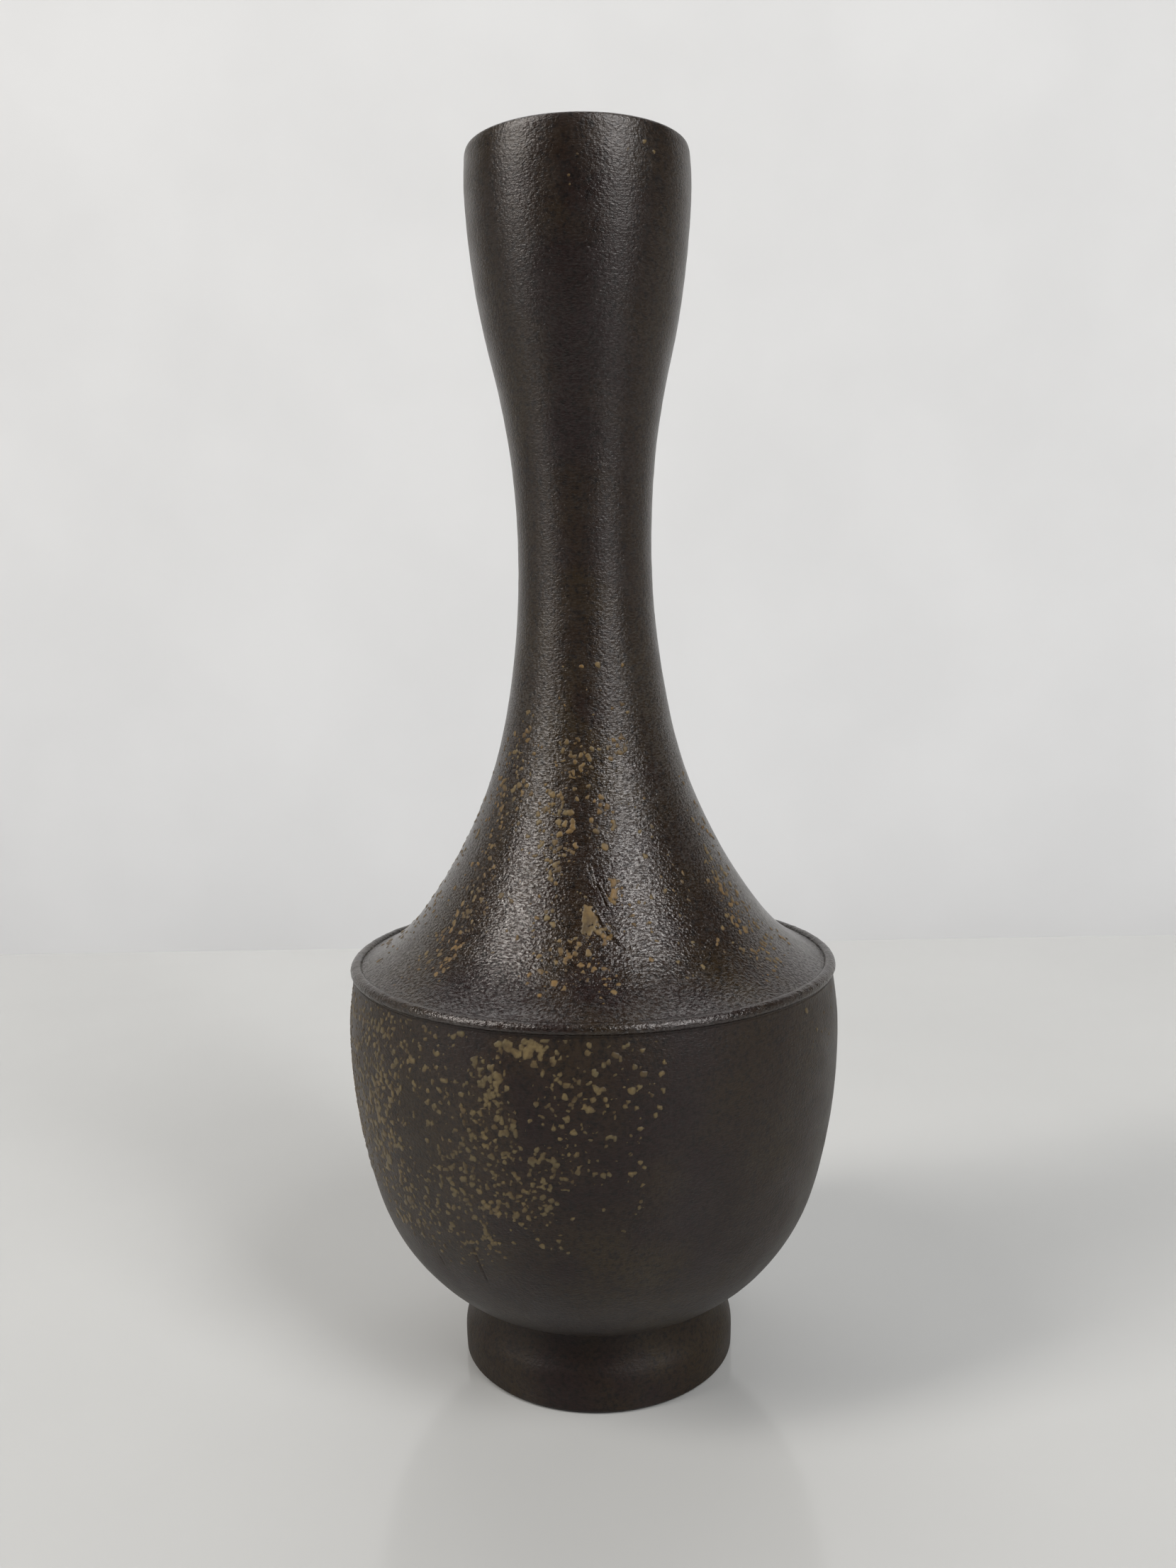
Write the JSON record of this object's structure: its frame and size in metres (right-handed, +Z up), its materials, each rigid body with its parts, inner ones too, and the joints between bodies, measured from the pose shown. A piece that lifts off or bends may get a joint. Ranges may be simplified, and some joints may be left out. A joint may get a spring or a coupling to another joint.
{
  "type": "ceramic bud vase",
  "caption": "Long-necked round-bodied bud vase of dark unglazed stoneware with an open cup mouth, a beaded shoulder and a turned foot ring.",
  "frame": {"origin": "centre of the foot ring's standing face", "axes": "+Z up along the vase's axis, -Y towards the front, where the ash drops are"},
  "size_m": [0.1032, 0.1035, 0.25],
  "materials": {
    "fired_clay": "satin vitrified unglazed stoneware, very dark purple-brown, fine orange-peel texture",
    "foot_clay": "matt unglazed stoneware, very dark purple-brown",
    "slip": "matt fired slip, near black",
    "ash": "semi-matt ochre fused wood ash"
  },
  "bodies": {
    "root": {"foot_ring": "foot_clay", "foot_slip_seam": "slip", "bowl": "fired_clay", "shoulder_slip_seam": "slip", "shoulder_coil": "fired_clay", "neck_section": "fired_clay", "ash_drops_bowl": "ash", "ash_drops_shoulder": "ash", "ash_drops_mouth": "ash"}
  },
  "joints": []
}
